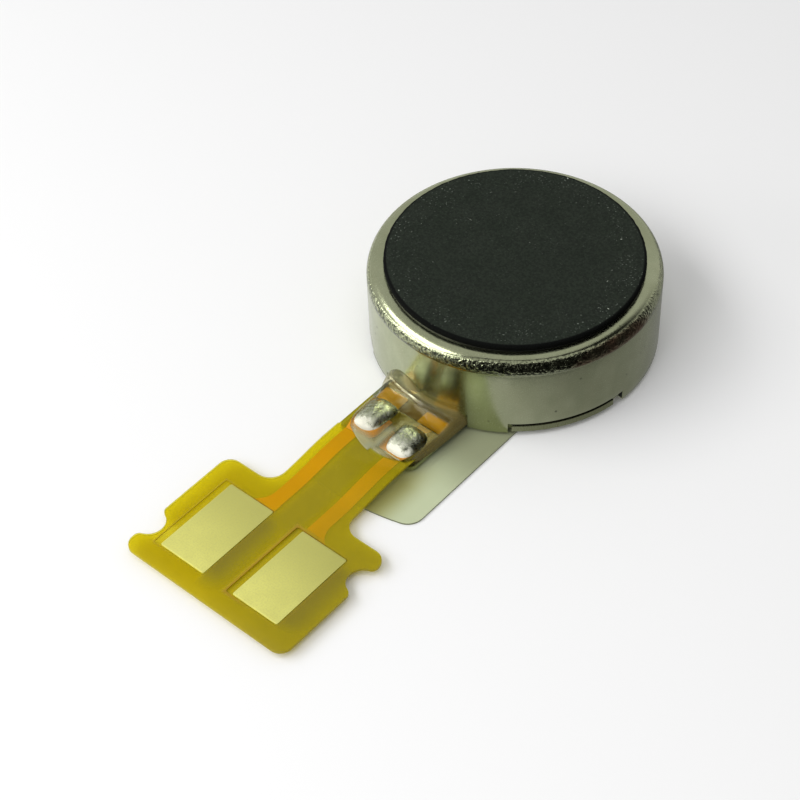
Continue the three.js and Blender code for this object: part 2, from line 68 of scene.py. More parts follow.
def span(node):
    """The lowest and highest corner of a CAD node, in millimetres."""
    low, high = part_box(node)
    return low / MM, high / MM


# -------- sizes in mm, from the frame

CASE_LOW, CASE_HIGH = span("case_cup")
CASE_RADIUS = CASE_HIGH.x
CASE_BOTTOM = CASE_LOW.z
CASE_TOP = CASE_HIGH.z
CASE_SHEET = 0.2
CASE_CORNER = 0.45
CASE_SHAFT_HOLE = 0.45
LIP_ROUND = 0.035  # rounding of the case's lower edge

SIDE_NOTCH = (36, 85)  # case notches on both sides, in degrees from the tail's axis
REAR_NOTCH = 158.5  # the rear notch runs from here to the same angle on the other side
NOTCH_HEIGHT = 0.4
TARNISH_ANGLE = 80  # the middle of a brown stain on the drawn corner
EXIT_HALF_WIDTH = 1.75  # the opening that the tail comes out of
EXIT_ANGLE = math.degrees(math.asin(EXIT_HALF_WIDTH / CASE_RADIUS))
EXIT_HEIGHT = 0.34
SIDE_TAB = (37.5, 80)  # the base's upturned tabs, which show in the notches
REAR_TAB = (161.5, 198.5)

BASE_LOW, BASE_HIGH = span("base_plate")
BASE_RADIUS = 4.76
BASE_THICK = 0.15
BASE_SHAFT_HOLE = 0.42
TAB_RADIUS = 4.97
TAB_SHEET = 0.15
TONGUE_HALF_WIDTH = 1.6
TONGUE_REACH = -BASE_LOW.y

TAIL_DROP = span("tail_film_root")[1].z - span("tail_film_head")[1].z  # the head lies this much lower
FILM_Z = [corner.z + TAIL_DROP for corner in span("tail_film_head")]
COPPER_Z = [corner.z + TAIL_DROP for corner in span("trace_head_left")]
COVER_Z = [corner.z + TAIL_DROP for corner in span("cover_film_head")]
SLOPE_REACH = (8.0, 10.3)  # the arm slopes down between these
ARM_HALF_WIDTH = span("tail_film_root")[1].x
ARM_START = -span("tail_film_root")[1].y
COVER_START = -span("cover_film_root")[1].y
HEAD_HALF_WIDTH = span("tail_film_head")[1].x
HEAD_START = 10.67
HEAD_END = -span("tail_film_head")[0].y
HEAD_CORNER = 0.45
NECK_FILLET = 0.6
NOTCH_RADIUS = 0.54
NOTCH_OFFSET = 3.46  # from the tail's axis to a locating notch's centre
NOTCH_FILLET = 0.24
NOTCH_REACH = {"left": 14.3, "right": 11.87}
STRIP_HALF_WIDTH = 1.42  # the stator's own strip, under the tail
STRIP_HOLE = 0.9
STRIP_COVER = 0.025  # its cover film, up to its terminals
TRACE_X = (0.65, 1.18)
TRACE_FLARE = 1.55  # the trace's outer edge where it meets the contact pad
LANDING_X = (0.12, 1.3)  # the copper under the solder
LANDING_NEAR = {"left": 6.3, "right": 6.6}
LANDING_FAR = {"left": 7.42, "right": 7.5}
SOLDER_X = {"left": (-1.3, -0.2), "right": (0.22, 1.34)}
SOLDER_LENGTH = {"left": 1.5, "right": 1.38}
SLOT_RADIUS = 0.28  # half-round slots in the film's near end
SLOT_X = 0.85
WINDOW_X = {"left": (-2.75, -0.6), "right": (0.38, 2.53)}
WINDOW_REACH = (11.5, 14.8)
BEND_FROM = 7.95  # the tail turns between these two reaches
BEND_TO = 10.45
BEND_ROWS = 40

LINER_TAB_X = (-1.0, 3.05)  # the liner's pull tab
LINER_TAB_END = 9.5
LINER_TAB_CORNER = 0.6

# -------- camera and light

CAMERA_AZIMUTH = 42.4  # from the tail's direction towards +X, in degrees
CAMERA_ELEVATION = 46.54
CAMERA_ROLL = -2.56
CAMERA_DISTANCE = 69.44  # mm, along the view to the case's centre
CAMERA_ASIDE = (3.948, 2.540)  # mm, the case's centre from the middle of the view
CAMERA_LENS = 90
WORLD_LIGHT = 0.5
PANEL_DISTANCE = 120  # mm


def smooth(share):
    """A share from 0 to 1, eased at both ends."""
    share = min(max(share, 0), 1)
    return share * share * (3 - 2 * share)


def drop(reach):
    """How far the tail lies below its height at the motor."""
    return TAIL_DROP * smooth((reach - SLOPE_REACH[0]) / (SLOPE_REACH[1] - SLOPE_REACH[0]))


def drooped(solid):
    """A level sheet of the tail, laid along its slope."""
    vertices, faces = solid
    return [(x, y, z - drop(-y)) for x, y, z in vertices], faces


def direction(azimuth, elevation):
    """The unit vector towards an azimuth, from the tail's direction towards +X, and an elevation."""
    a, e = math.radians(azimuth), math.radians(elevation)
    return Vector((math.sin(a) * math.cos(e), -math.cos(a) * math.cos(e), math.sin(e)))


# -------- node materials


class Look:
    """A node material with one main shader. Its textures are fixed to the piece, in millimetres."""

    sockets = {"metallic": "Metallic", "roughness": "Roughness", "specular": "Specular IOR Level"}

    def __init__(self, name, on_cad=False, **values):
        self.material = bpy.data.materials.new(name)
        self.material.use_nodes = True
        self.tree = self.material.node_tree
        self.shader = self.tree.nodes["Principled BSDF"]
        self.output = self.tree.nodes["Material Output"]
        for socket, value in values.items():
            self.shader.inputs[self.sockets[socket]].default_value = value
        self.on_cad = on_cad

    @functools.cached_property
    def place(self):
        """The place on the piece, in millimetres, which doesn't change when the piece bends or moves."""
        if not self.on_cad:
            return self.node("Attribute", attribute_name="rest").outputs["Vector"]
        place = self.node("TexCoord").outputs["Object"]
        return self.node("VectorMath", {0: place, "Scale": 1 / MM}, operation="SCALE").outputs[0]

    @functools.cached_property
    def axes(self):
        return self.node("SeparateXYZ", {0: self.place})

    def node(self, kind, inputs=None, **settings):
        made = self.tree.nodes.new("ShaderNode" + kind)
        for setting, value in settings.items():
            setattr(made, setting, value)
        for socket, value in (inputs or {}).items():
            if isinstance(value, bpy.types.NodeSocket):
                self.tree.links.new(value, made.inputs[socket])
            else:
                made.inputs[socket].default_value = value
        return made

    def link(self, value, socket):
        self.tree.links.new(value, self.shader.inputs[socket])

    def attribute(self, name):
        return self.node("Attribute", attribute_name=name).outputs["Fac"]

    def axis(self, letter):
        """The place along one axis, in millimetres."""
        return self.axes.outputs[letter]

    def towards(self, azimuth, shares, values):
        """A value that changes towards an azimuth, between two shares of the case's radius."""
        inputs = {0: self.place, 1: direction(azimuth, 0)}
        along = self.node("VectorMath", inputs, operation="DOT_PRODUCT").outputs["Value"]
        return self.between(along, CASE_RADIUS * shares[0], CASE_RADIUS * shares[1], *values)

    def from_axis(self):
        """Distance from the case's axis."""
        flat = self.stretched((1.0, 1.0, 0.0))
        return self.node("VectorMath", {0: flat}, operation="LENGTH").outputs["Value"]

    def outside(self, across, reaches):
        """How far the place lies outside a rectangle between two x and two reaches, negative inside."""
        sides = []
        for letter, (first, last) in (("X", across), ("Y", (-reaches[1], -reaches[0]))):
            offset = self.math("ABSOLUTE", self.math("SUBTRACT", self.axis(letter), (first + last) / 2))
            sides.append(self.math("SUBTRACT", offset, (last - first) / 2))
        return self.math("MAXIMUM", *sides)

    def stretched(self, by):
        """The place, with each axis multiplied."""
        return self.node("VectorMath", {0: self.place, 1: by}, operation="MULTIPLY").outputs[0]

    def noise(self, per_mm, detail=2.0, roughness=0.5, stretch=None):
        place = self.stretched(stretch) if stretch else self.place
        inputs = {"Vector": place, "Scale": per_mm, "Detail": detail, "Roughness": roughness}
        return self.node("TexNoise", inputs).outputs["Fac"]

    def cells(self, per_mm):
        return self.node("TexVoronoi", {"Vector": self.place, "Scale": per_mm}).outputs["Distance"]

    def between(self, value, low, high, to_low=0.0, to_high=1.0):
        """A value taken from one range to another, held at its ends, with a smooth start and end."""
        inputs = {"Value": value, "From Min": low, "From Max": high, "To Min": to_low, "To Max": to_high}
        return self.node("MapRange", inputs, interpolation_type="SMOOTHSTEP").outputs["Result"]

    def math(self, operation, first, second=0.0):
        return self.node("Math", {0: first, 1: second}, operation=operation).outputs[0]

    def times(self, *values):
        return functools.reduce(functools.partial(self.math, "MULTIPLY"), values)

    def most(self, *values):
        return functools.reduce(functools.partial(self.math, "MAXIMUM"), values)

    def rest_of(self, share):
        """1 less a share."""
        return self.math("SUBTRACT", 1.0, share)

    def blend(self, amount, first, second):
        """A colour that goes from the first to the second."""
        made = self.node("Mix", {"Factor": amount}, data_type="RGBA")
        for slot, value in ((6, first), (7, second)):
            if isinstance(value, bpy.types.NodeSocket):
                self.tree.links.new(value, made.inputs[slot])
            else:
                made.inputs[slot].default_value = (*value, 1.0)
        return made.outputs[2]

    def bump(self, *layers):
        """Bump from (height, depth in mm) layers, one on top of the other."""
        normal = None
        for height, depth in layers:
            inputs = {"Height": height, "Distance": depth * MM}
            if normal:
                inputs["Normal"] = normal
            normal = self.node("Bump", inputs).outputs["Normal"]
        self.link(normal, "Normal")
        return normal

    def dressed(self, colour, *bumps, roughness=None):
        """The material, with its colour, its bump layers and any roughness that varies."""
        self.link(colour, "Base Color")
        if roughness:
            self.link(roughness, "Roughness")
        self.bump(*bumps)
        return self.material

    def mixed(self, share, first, second):
        """A mix of two shaders, with a share of the second."""
        return self.node("MixShader", {0: share, 1: first.outputs[0], 2: second.outputs[0]})

    def finish(self, shader):
        self.tree.links.new(shader.outputs[0], self.output.inputs["Surface"])

    def see_through(self, amount, tint):
        """Lets a share of the light pass straight on, tinted."""
        self.finish(self.mixed(amount, self.shader, self.node("BsdfTransparent", {"Color": (*tint, 1.0)})))


def nickel():
    """Plate, smooth but for the crinkled drawn corner, which is speckled with a painted dark reflection;
    painted shade blackens its inner faces.
    """
    look = Look("nickel plate", metallic=1.0)
    height = look.axis("Z")
    crinkle = look.noise(10.0, detail=1.5, roughness=0.6)
    grain = look.noise(42.0)
    cloud = look.noise(0.9, detail=3.0)

    rises = look.between(height, CASE_TOP - 0.56, CASE_TOP - 0.46)
    lower = look.towards(CAMERA_AZIMUTH - 60, (0.66, 0.9), (0.0, 0.1))
    falls = look.between(look.math("ADD", height, lower), CASE_TOP - 0.12, CASE_TOP - 0.05, 1.0, 0.06)
    drawn = look.times(rises, falls)
    # Painted dark reflection: the crinkled corner is speckled near black, most on the camera's side.
    speckled_dark_reflection = look.times(drawn, look.between(crinkle, 0.42, 0.56, 0.85, 0.0))
    speckled_dark_reflection = look.times(speckled_dark_reflection, look.towards(CAMERA_AZIMUTH - 15, (0.1, 0.6), (0.25, 1.0)))
    stained = look.times(drawn, look.between(cloud, 0.25, 0.5, 0.5, 1.0))
    stained = look.times(look.towards(TARNISH_ANGLE, (0.92, 0.98), (0.0, 0.85)), stained)
    pits = look.between(look.cells(1.5), 0.04, 0.085, 0.7, 0.0)
    streaks = look.between(look.noise(2.0, detail=3.0, stretch=(1.0, 1.0, 0.35)), 0.35, 0.7, 0.0, 0.3)
    # Painted shade: the inside of the wall and the notches' end faces go near black.
    painted_shade_inside = look.times(
        look.between(look.from_axis(), CASE_RADIUS - 0.05, CASE_RADIUS - 0.02, 1.0, 0.0),
        look.between(height, CASE_TOP - 1.0, CASE_TOP - 0.8, 1.0, 0.0),
        look.between(height, CASE_BOTTOM + 0.02, CASE_BOTTOM + 0.06))

    plate = look.blend(look.between(cloud, 0.35, 0.68), (0.49, 0.52, 0.325), (0.55, 0.585, 0.375))
    for amount, colour in (
            (speckled_dark_reflection, (0.05, 0.055, 0.038)),
            (stained, (0.36, 0.21, 0.13)),
            (pits, (0.05, 0.05, 0.035)),
            (streaks, (0.40, 0.45, 0.27)),
            (painted_shade_inside, (0.012, 0.014, 0.01))):
        plate = look.blend(amount, plate, colour)
    shine = look.between(grain, 0.3, 0.75, 0.16, 0.28)
    return look.dressed(
        plate, (look.times(crinkle, drawn), 0.06), (grain, 0.0008), (look.noise(2.2), 0.004),
        roughness=look.math("ADD", shine, look.times(stained, 0.3)))


def foam_rubber(radius):
    """Black foam with pale flecks, more of them towards its rim, and painted shade on its rounded edge."""
    look = Look("foam", roughness=0.9, specular=0.12)
    cloud = look.noise(1.1, detail=3.0)
    grit = look.between(look.noise(12.0), 0.35, 0.65)
    from_axis = look.from_axis()
    worn = look.times(
        look.between(from_axis, radius - 1.6, radius - 0.2, 0.2, 1.0),
        look.between(look.between(look.noise(1.3, detail=1.0), 0.42, 0.62), 0.0, 1.0, 0.25, 1.0))
    body = look.blend(cloud, (0.015, 0.021, 0.014), (0.025, 0.031, 0.023))
    body = look.blend(grit, look.blend(0.45, body, (0.006, 0.007, 0.006)), body)
    fine_flecks = look.between(look.noise(13.0), 0.6, 0.74)
    body = look.blend(look.times(fine_flecks, worn), body, (0.13, 0.15, 0.125))
    flecks = look.between(look.noise(6.5), 0.73, 0.77)
    body = look.blend(look.times(flecks, worn), body, (0.42, 0.46, 0.38))
    # Painted shade on the rounded edge and side: near black there.
    body = look.blend(look.between(from_axis, radius - 0.13, radius - 0.06), body, (0.002, 0.0025, 0.002))
    return look.dressed(body, (look.cells(15.0), 0.012), (look.noise(4.0), 0.006))


def shade_on_film(look):
    """How much painted shade the film gets: painted shadow beside the pads, painted shade between the traces
    and towards +X; and how dark its cut edges are.
    """
    across, along = look.axis("X"), look.axis("Y")
    # Painted shadow: each pad's shadow, on its +X side, darker just beside it.
    beside = 0.0
    for side, far in (("left", 0.0), ("right", 0.4)):
        edge = span(f"contact_pad_{side}")[1].x
        starts = look.between(across, edge - 0.05, edge + 0.05)
        fades = look.between(across, edge + 0.1, edge + 1.1, 1.0, far)
        beside = look.most(beside, look.times(starts, fades))
        if side == "left":
            beside = look.times(beside, look.between(across, 0.5, 1.0, 1.0, 0.0))
    on_head = look.times(look.between(along, -15.4, -14.2), look.between(along, -12.2, -11.2, 1.0, 0.0))
    # Painted shade between the traces and towards +X.
    middle = look.between(look.math("ABSOLUTE", across), TRACE_X[0] - 0.35, TRACE_X[0] + 0.1, 0.5, 0.0)
    painted_shade_between_traces = look.times(middle, look.between(along, -12.8, -11.4))
    painted_shade_to_one_side = look.between(across, -1.0, 3.2, 0.0, 0.45)
    painted_shade_on_face = look.most(look.times(on_head, beside), painted_shade_between_traces, painted_shade_to_one_side)
    return look.most(look.times(painted_shade_on_face, 0.62), look.times(look.attribute("side"), 0.6))


def amber_film(name, body, tint, through, roughness=0.3, windows=()):
    """A clear amber film with brown cut edges, painted shade and a painted sheen at the head's far end.
    Adhesive has crept out along any windows in it.
    """
    look = Look(name, roughness=roughness, specular=0.5)
    across, along = look.axis("X"), look.axis("Y")
    deep = tuple(value * 0.84 for value in body)
    surface = look.blend(look.noise(1.6, detail=3.0), deep, body)
    # Painted shade, with the brown cut edges; it also lets less light through.
    painted_shade_and_cut_edges = shade_on_film(look)
    # Painted sheen: paler and greyer towards the head's far end.
    surface = look.blend(look.between(along, -15.9, -15.0, 0.4, 0.0), surface, (0.60, 0.52, 0.17))
    surface = look.blend(painted_shade_and_cut_edges, surface, (0.115, 0.08, 0.018))
    clear = look.times(through, look.rest_of(look.times(painted_shade_and_cut_edges, 0.8)))
    for window, width, amount in windows:
        left = window[0][0]
        creep = look.between(look.outside(*window), 0.0, width, amount, 0.0)
        creep = look.times(creep, look.between(across, left + 0.1, left + 1.2, 1.0, 0.2))
        surface = look.blend(creep, surface, (0.34, 0.18, 0.006))
        clear = look.times(clear, look.rest_of(creep))
    look.see_through(clear, tint)
    return look.dressed(surface, (look.noise(1.3), 0.006))


def copper(name, dark, light):
    """Copper seen through a film, so only half metal, with darker cut edges."""
    look = Look(name, metallic=0.55, specular=0.3)
    grain = look.noise(24.0, detail=3.0)
    metal = look.blend(look.attribute("side"), look.blend(grain, dark, light), (0.22, 0.08, 0.004))
    return look.dressed(metal, (grain, 0.001), roughness=look.between(grain, 0.3, 0.7, 0.42, 0.6))


def gold(on_cad=False):
    """Satin gold plate, with a painted reflection on the pads that grows dimmer and more grey towards the
    motor.
    """
    look = Look("gold plate" + (" inside" if on_cad else ""), on_cad, metallic=0.7)
    grain = look.noise(16.0, detail=4.0, roughness=0.6)
    cloud = look.noise(1.5, detail=3.0)
    # Painted reflection: bright at the pads' far ends, dimmer towards the motor.
    painted_dim_reflection = look.between(look.axis("Y"), -14.7, -11.6)
    base = look.blend(painted_dim_reflection, (1.0, 0.975, 0.27), (0.67, 0.65, 0.175))
    base = look.blend(look.between(cloud, 0.3, 0.7, 0.0, 0.3), base, (0.74, 0.72, 0.2))
    base = look.blend(look.between(grain, 0.35, 0.75, 0.0, 0.35), base, (0.62, 0.61, 0.22))
    roughness = look.between(grain, 0.3, 0.7, 0.36, 0.5)
    return look.dressed(base, (grain, 0.0012), (look.noise(3.0), 0.004), roughness=roughness)


def tin_solder(tip):
    """Wrinkled solder with a ragged painted white highlight at its tip, not metal there, whose y is given.
    """
    look = Look("solder")
    wrinkle = look.noise(4.0, detail=4.0, roughness=0.6)
    crust = look.noise(9.0)
    ragged = look.math("ADD", look.axis("Y"), look.between(wrinkle, 0.3, 0.7, -0.16, 0.16))
    # Painted highlight: near white and not metal towards the tip, with a ragged edge.
    painted_highlight = look.between(ragged, tip + 0.1, tip + 0.5, 1.0, 0.0)
    metal = look.blend(wrinkle, (0.58, 0.63, 0.50), (0.84, 0.89, 0.74))
    look.link(look.rest_of(painted_highlight), "Metallic")
    return look.dressed(
        look.blend(painted_highlight, metal, (0.97, 0.98, 0.93)), (wrinkle, 0.03), (crust, 0.02),
        roughness=look.between(crust, 0.3, 0.7, 0.2, 0.42))


def clear_glue():
    """Clear resin, milky past the solder, amber in the thick roll beside the case and dark amber, partly
    painted shadow, over the arm's right edge; painted shade darkens its highest part.
    """
    look = Look("clear glue", roughness=0.4, specular=0.0)
    cloud = look.noise(2.2)
    across, along = look.axis("X"), look.axis("Y")
    milky = look.times(
        look.between(along, -6.8, -6.3, 0.62, 0.0),
        look.between(across, 0.3, 1.2, 1.0, 0.2))
    for side in ("left", "right"):
        low, high = span(f"solder_joint_{side}")
        off_solder = look.outside((low.x + 0.06, high.x - 0.06), (-high.y + 0.1, -low.y - 0.06))
        milky = look.times(milky, look.between(off_solder, 0.02, 0.42, 0.05, 1.0))
    streak = look.times(
        look.between(along, -5.8, -5.5),
        look.between(along, -5.3, -5.1, 0.22, 0.0),
        look.between(across, -0.6, -0.3),
        look.between(across, -0.3, 0.0, 1.0, 0.0))
    amber = look.times(look.between(along, -5.22, -5.05), look.between(across, -0.6, 0.3, 0.25, 1.0))
    # Partly painted shadow: where the glue drapes over the arm's right edge it goes dark amber.
    amber = look.most(amber, look.between(across, 1.42, 1.52))
    # Painted shade: the glue goes dark above a height, where it climbs the case's wall.
    lip = look.between(look.axis("Z"), 0.97, 1.03, 0.0, 0.75)

    body = look.blend(look.between(cloud, 0.3, 0.7), (0.46, 0.42, 0.21), (0.42, 0.43, 0.27))
    body = look.blend(streak, body, (0.6, 0.6, 0.5))
    body = look.blend(amber, body, (0.20, 0.165, 0.06))
    look.link(look.blend(lip, body, (0.07, 0.075, 0.035)), "Base Color")
    normal = look.bump((cloud, 0.02), (look.noise(7.0), 0.003))
    clear_tint = look.blend(amber, (0.985, 0.975, 0.93), (0.82, 0.70, 0.33))
    clear = look.node("BsdfTransparent", {"Color": clear_tint})
    gloss = look.node("BsdfGlossy", {"Color": (0.75, 0.76, 0.66, 1.0), "Roughness": 0.13, "Normal": normal})
    edge = look.node("Fresnel", {"IOR": 1.35, "Normal": normal})
    opaque = look.most(milky, streak, look.times(amber, 0.55), lip)
    look.finish(look.mixed(edge.outputs[0], look.mixed(opaque, clear, look.shader), gloss))
    return look.material


def liner_film():
    """Greenish film, shaded towards the motor, with painted amber light along the arm."""
    look = Look("release liner", roughness=0.22, specular=0.4)
    across, along = look.axis("X"), look.axis("Y")
    film = look.blend(look.noise(0.7), (0.58, 0.64, 0.41), (0.64, 0.70, 0.47))
    film = look.blend(look.between(along, -7.8, -5.2, 0.0, 0.75), film, (0.24, 0.25, 0.15))
    # Painted light: amber light from the arm, passed through it and reflected off it, yellows the film
    # beside it.
    painted_amber_light_near_arm = look.times(
        look.between(across, 1.1, 1.5, 0.1, 1.0),
        look.between(across, 1.6, 2.6, 0.7, 0.0),
        look.between(along, -8.0, -6.2, 1.0, 0.0))
    film = look.blend(painted_amber_light_near_arm, film, (0.30, 0.27, 0.035))
    look.see_through(0.16, (0.88, 0.93, 0.72))
    film = look.blend(look.attribute("side"), film, (0.16, 0.17, 0.1))
    return look.dressed(film, (look.noise(0.8), 0.006))


def grained(name, dark, light, roughness, spread=0.2, metallic=0.0, per_mm=14.0, depth=0.002,
            on_cad=True, **grain):
    """A plain solid of two close tones with a fine grain, whose roughness varies by a share."""
    look = Look(name, on_cad, metallic=metallic)
    tone = look.noise(per_mm, **{"detail": 3.0, **grain})
    varied = look.between(tone, 0.3, 0.7, roughness * (1 - spread), roughness * (1 + spread))
    return look.dressed(look.blend(tone, dark, light), (tone, depth), roughness=varied)


# -------- mesh helpers


def added(name, data):
    """A new object in the scene."""
    made = bpy.data.objects.new(name, data)
    bpy.context.scene.collection.objects.link(made)
    return made


def make(name, look, slot, vertices, faces, bevel=0.0, sharp=35, welded=1e-5):
    """A piece from vertices in millimetres, smooth except at edges sharper than an angle.

    Its "rest" attribute holds the places in millimetres, and "side" is 1 on upright faces."""
    mesh = bpy.data.meshes.new(name)
    bm = bmesh.new()
    points = [bm.verts.new(v) for v in vertices]
    for face in faces:
        if len(set(face)) > 2:
            bm.faces.new([points[i] for i in face])
    bmesh.ops.remove_doubles(bm, verts=bm.verts, dist=welded)
    bmesh.ops.dissolve_degenerate(bm, edges=bm.edges, dist=welded)
    bmesh.ops.recalc_face_normals(bm, faces=bm.faces)
    if bevel:
        corners = [e for e in bm.edges if e.is_manifold and e.calc_face_angle() > math.radians(50)]
        bmesh.ops.bevel(bm, geom=corners, offset=bevel, segments=2, affect="EDGES", profile=0.6)
    bm.to_mesh(mesh)
    bm.free()
    rest = mesh.attributes.new("rest", "FLOAT_VECTOR", "POINT")
    for vertex, place in zip(mesh.vertices, rest.data):
        place.vector = vertex.co
    mesh.transform(Matrix.Scale(MM, 4))
    mesh.shade_smooth()
    mesh.set_sharp_from_angle(angle=math.radians(sharp))
    side = mesh.attributes.new("side", "FLOAT", "FACE")
    side.data.foreach_set("value", [float(abs(face.normal.z) < 0.5) for face in mesh.polygons])
    mesh.materials.append(look)
    piece = added(name, mesh)
    return piece


def joined(*parts):
    """Several (vertices, faces) as one."""
    vertices, faces = [], []
    for part_vertices, part_faces in parts:
        offset = len(vertices)
        vertices += part_vertices
        faces += [[i + offset for i in face] for face in part_faces]
    return vertices, faces


def polar(radius, degrees, z=None):
    """A point at an angle from the tail's axis, positive towards +X."""
    turn = math.radians(degrees - 90)
    flat = (radius * math.cos(turn), radius * math.sin(turn))
    return flat if z is None else (*flat, z)


def row_faces(rows, count, closed):
    """Faces between rows of points, each row a closed section. When closed, the last row meets the first."""
    faces = []
    for row in range(rows if closed else rows - 1):
        here, there = row * count, (row + 1) % rows * count
        for i in range(count):
            after = (i + 1) % count
            faces.append([here + i, here + after, there + after, there + i])
    return faces


def turned(profile, steps=180):
    """A closed profile of (radius, z) points turned about Z."""
    vertices = [polar(r, 360 * s / steps, z) for s in range(steps) for r, z in profile]
    return vertices, row_faces(steps, len(profile), True)


def swept(profile, start, end, steps=32):
    """A closed profile of (radius, z) points swept round Z between two angles, with flat ends."""
    count = len(profile)
    angles = [start + (end - start) * s / steps for s in range(steps + 1)]
    vertices = [polar(r, angle, z) for angle in angles for r, z in profile]
    ends = [list(range(count)), list(range(steps * count, (steps + 1) * count))]
    return vertices, row_faces(steps + 1, count, False) + ends


def arc(centre, radius, start, end, steps=8):
    """Points of an arc between two angles in degrees."""
    turns = [math.radians(start + (end - start) * i / steps) for i in range(steps + 1)]
    return [(centre[0] + radius * math.cos(t), centre[1] + radius * math.sin(t)) for t in turns]


def rounded(corners, steps=8):
    """A closed outline through (x, y, radius) corners."""
    outline = []
    count = len(corners)
    for i, (x, y, radius) in enumerate(corners):
        here = Vector((x, y))
        if radius == 0:
            outline.append((x, y))
            continue
        back = (Vector(corners[i - 1][:2]) - here).normalized()
        ahead = (Vector(corners[(i + 1) % count][:2]) - here).normalized()
        half = back.angle(ahead) / 2
        centre = here + (back + ahead).normalized() * radius / math.sin(half)
        start = here + back * radius / math.tan(half) - centre
        end = here + ahead * radius / math.tan(half) - centre
        sweep = -start.angle_signed(end)
        for s in range(steps + 1):
            outline.append(tuple(centre + Matrix.Rotation(sweep * s / steps, 2) @ start))
    return outline


def rectangle(across, reaches, corner=0.0):
    """A rectangle between two x and two reaches."""
    (x0, x1), (near, far) = across, reaches
    return rounded([(x0, -near, corner), (x0, -far, corner), (x1, -far, corner), (x1, -near, corner)])


def inside(point, outline):
    """True where a point is inside a closed outline."""
    within = False
    for (x0, y0), (x1, y1) in zip(outline, outline[1:] + outline[:1]):
        if (y0 > point.y) != (y1 > point.y) and point.x < x0 + (point.y - y0) * (x1 - x0) / (y1 - y0):
            within = not within
    return within


def bend_lines():
    """Lines across the tail where it bends."""
    reaches = [BEND_FROM + (BEND_TO - BEND_FROM) * i / BEND_ROWS for i in range(BEND_ROWS + 1)]
    end = ARM_HALF_WIDTH + 0.2
    return [((-end, -reach), (end, -reach)) for reach in reaches]


def sheet(outline, heights, holes=(), lines=()):
    """A flat sheet with holes between two heights, with edges along some lines across it."""
    points, edges = [], []
    for loop in (outline, *holes):
        first = len(points)
        points += [Vector(p) for p in loop]
        edges += [(first + i, first + (i + 1) % len(loop)) for i in range(len(loop))]
    for line in lines:
        edges.append((len(points), len(points) + 1))
        points += [Vector(p) for p in line]
    flat, _, triangles, *_ = geometry.delaunay_2d_cdt(points, edges, [], 0, 1e-6)
    chosen = []
    for triangle in triangles:
        middle = sum((flat[i] for i in triangle), Vector((0, 0))) / 3
        if inside(middle, outline) and not any(inside(middle, hole) for hole in holes):
            chosen.append(triangle)
    used = sorted({i for triangle in chosen for i in triangle})
    index = {old: new for new, old in enumerate(used)}
    count = len(used)
    vertices = [(*flat[i], z) for z in heights for i in used]
    bottom = [[index[i] for i in triangle] for triangle in chosen]
    sides = {(face[i], face[(i + 1) % 3]) for face in bottom for i in range(3)}
    rim = [(a, b) for a, b in sides if (b, a) not in sides]
    faces = [face[::-1] for face in bottom]
    faces += [[i + count for i in face] for face in bottom]
    faces += [[a, b, b + count, a + count] for a, b in sorted(rim)]
    return vertices, faces


def mirrored(pair):
    """Two angles on the other side of the tail's axis."""
    return (-pair[1], -pair[0])


# -------- case, base, foam, liner


def case_bottom(degrees):
    """Height of the case's lower edge at an angle from the tail's axis."""
    around = abs((degrees + 180) % 360 - 180)
    if SIDE_NOTCH[0] < around < SIDE_NOTCH[1] or around > REAR_NOTCH:
        return CASE_BOTTOM + NOTCH_HEIGHT
    return CASE_BOTTOM + (EXIT_HEIGHT if around < EXIT_ANGLE else 0)


def case_profile(bottom):
    """The case's closed section, as (radius, z), from the inside of the lower edge outwards."""
    outer, inner = CASE_RADIUS, CASE_RADIUS - CASE_SHEET
    lip = LIP_ROUND
    corner = (outer - CASE_CORNER, CASE_TOP - CASE_CORNER)
    wall_rows = 10
    rise = (corner[1] - bottom - lip) / wall_rows
    profile = [(inner, bottom + lip), (inner + lip, bottom)]
    profile += [(outer - lip, bottom), (outer - lip * 0.3, bottom + lip * 0.3)]
    profile += [(outer, bottom + lip + rise * i) for i in range(wall_rows)]
    profile += arc(corner, CASE_CORNER, 0, 90, 20)
    profile += [(radius, CASE_TOP) for radius in (3.6, 2.0, CASE_SHAFT_HOLE)]
    profile.append((CASE_SHAFT_HOLE, CASE_TOP - CASE_SHEET))
    profile += arc(corner, CASE_CORNER - CASE_SHEET, 90, 0, 8)
    return profile


def case_cup():
    """The case's section, turned about Z. It steps up and down at the edges of the notches."""
    step = 1.25
    hair = 0.02
    angles = {round(i * step, 4) for i in range(int(360 / step))}
    for edge in (EXIT_ANGLE, *SIDE_NOTCH, REAR_NOTCH):
        for sign in (-1, 1):
            angles |= {(sign * (edge - hair)) % 360, (sign * (edge + hair)) % 360}
    vertices = []
    for angle in sorted(angles):
        profile = case_profile(case_bottom(angle))
        vertices += [polar(r, angle, z) for r, z in profile]
    faces = row_faces(len(angles), len(profile), True)
    piece = make("case_shell", nickel(), "nickel_case", vertices, faces, sharp=40)
    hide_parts("case_cup")
    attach(piece, "stator")


